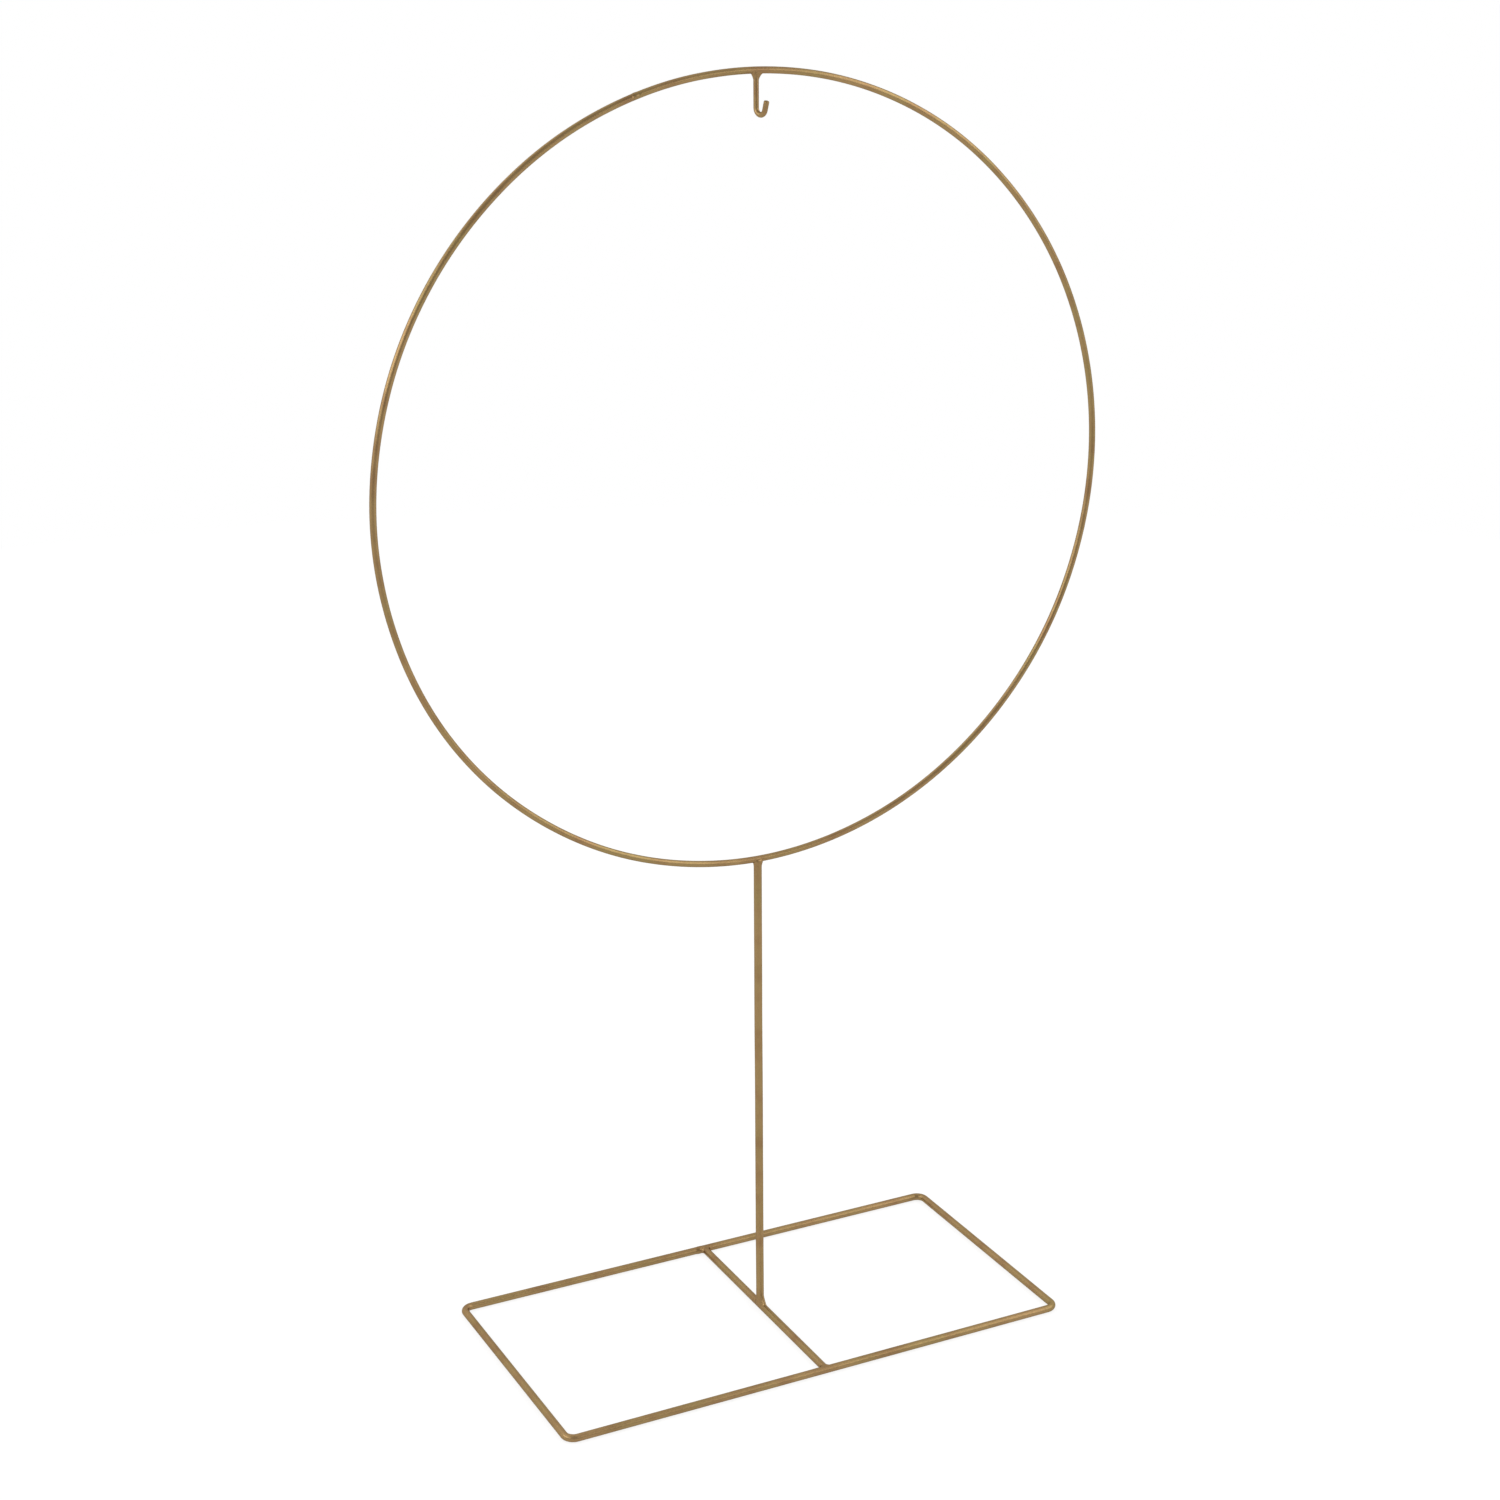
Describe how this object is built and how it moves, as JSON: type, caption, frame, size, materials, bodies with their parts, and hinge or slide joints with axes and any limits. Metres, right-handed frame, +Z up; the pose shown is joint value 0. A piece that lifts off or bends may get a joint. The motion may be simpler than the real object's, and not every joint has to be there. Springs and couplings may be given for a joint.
{
  "type": "wreath frame",
  "caption": "Free-standing display frame for a floral wreath: a round wire hoop with a small hook inside its top, on a straight post and a flat rectangular wire base.",
  "frame": {"origin": "on the table under the middle of the frame's outline: midway across the hoop in X, midway across the base in Y", "axes": "+Z up; +X along the long side of the base and across the hoop, to the right of a person facing the front; -Y is the front, which the hook opens to, turned 15 degrees to the right of it"},
  "size_m": [0.3024, 0.1152, 0.5],
  "materials": {
    "gold_paint": "satin antique-gold paint on round steel wire",
    "gold_paint_weld": "the same satin antique-gold paint, thinner and a little uneven over weld metal"
  },
  "bodies": {
    "root": {"base_frame": "gold_paint", "base_crossbar": "gold_paint", "post": "gold_paint", "hoop": "gold_paint", "hook": "gold_paint", "hoop_butt_weld": "gold_paint_weld", "base_frame_butt_weld": "gold_paint_weld", "hook_weld": "gold_paint_weld", "post_top_weld": "gold_paint_weld", "post_foot_weld": "gold_paint_weld", "crossbar_front_weld": "gold_paint_weld", "crossbar_rear_weld": "gold_paint_weld"}
  },
  "joints": []
}
